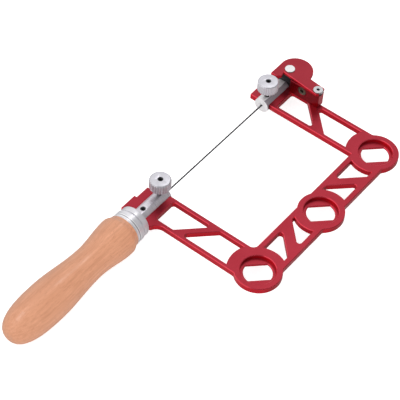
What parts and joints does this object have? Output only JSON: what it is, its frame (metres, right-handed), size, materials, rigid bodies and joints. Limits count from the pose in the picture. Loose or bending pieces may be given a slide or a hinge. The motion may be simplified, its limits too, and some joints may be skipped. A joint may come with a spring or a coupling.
{
  "type": "fret saw",
  "caption": "Fret saw with a windowed metal frame, two rod clamps with thumb knobs, a lever that draws the blade tight, and a turned wooden handle.",
  "frame": {"origin": "on the blade line, level with the lower arm's throat face, halfway through the frame plate", "axes": "+X along the blade from the handle to the upper arm, +Y across the frame away from the spine, +Z out of the plate towards the knobs"},
  "size_m": [0.3201, 0.1261, 0.0359],
  "materials": {
    "red_anodised": "red anodised, satin",
    "red_lever": "red anodised, satin",
    "beech": "turned and lacquered",
    "satin_aluminium": "turned, satin",
    "polished_aluminium": "turned, bright",
    "zinc_steel": "zinc plated",
    "brass": "turned",
    "black_steel": "black oxide",
    "blade_steel": "hardened, dark",
    "grey_steel": "milled",
    "bright_steel": "polished"
  },
  "bodies": {
    "saw": {"frame": "red_anodised", "handle": "beech", "ferrule": "satin_aluminium", "ferrule_ring": "satin_aluminium", "handle_stud": "zinc_steel", "handle_insert": "brass", "lower_clamp_rod": "polished_aluminium", "rod_set_screw": "black_steel", "ferrule_set_screw": "black_steel", "blade": "blade_steel", "lever_washer": "black_steel", "lever_pivot_screw": "bright_steel", "stop_block": "red_anodised", "stop_block_screws": "black_steel", "stop_screw": "bright_steel"},
    "lower_pad": {"lower_clamp_pad": "brass"},
    "lower_knob": {"lower_clamp_screw": "black_steel", "lower_clamp_knob": "satin_aluminium"},
    "upper_rod": {"upper_clamp_rod": "polished_aluminium", "rod_yoke": "grey_steel", "yoke_screw": "black_steel"},
    "upper_pad": {"upper_clamp_pad": "brass"},
    "upper_knob": {"upper_clamp_screw": "black_steel", "upper_clamp_knob": "satin_aluminium"},
    "lever": {"tension_lever": "red_lever", "drive_pin": "bright_steel", "stop_peg": "bright_steel"}
  },
  "joints": [
    {"name": "lever_turn", "type": "hinge", "parent": "saw", "child": "lever", "pos_m": [0.1394, -0.0315, 0.0164], "axis": [0, 0, 1], "range_deg": [-1.8, 7.5]},
    {"name": "upper_rod_slide", "type": "slide", "parent": "saw", "child": "upper_rod", "axis": [1, 0, 0], "range_m": [-0.00373, 0.0009]},
    {"name": "lower_pad_travel", "type": "slide", "parent": "saw", "child": "lower_pad", "axis": [0, 0, 1], "range_m": [0, 0.0012]},
    {"name": "lower_knob_turn", "type": "hinge", "parent": "lower_pad", "child": "lower_knob", "pos_m": [-0.0054, 0, 0.012], "axis": [0, 0, 1], "range_deg": [0, 540]},
    {"name": "upper_pad_travel", "type": "slide", "parent": "upper_rod", "child": "upper_pad", "axis": [0, 0, 1], "range_m": [0, 0.0012]},
    {"name": "upper_knob_turn", "type": "hinge", "parent": "upper_pad", "child": "upper_knob", "pos_m": [0.1202, 0, 0.012], "axis": [0, 0, 1], "range_deg": [0, 540]}
  ],
  "couplings": [
    {"joint": "upper_rod_slide", "follows": "lever_turn", "m_per_rad": -0.0284},
    {"joint": "lower_pad_travel", "follows": "lower_knob_turn", "m_per_rad": 0.00012732},
    {"joint": "upper_pad_travel", "follows": "upper_knob_turn", "m_per_rad": 0.00012732}
  ]
}
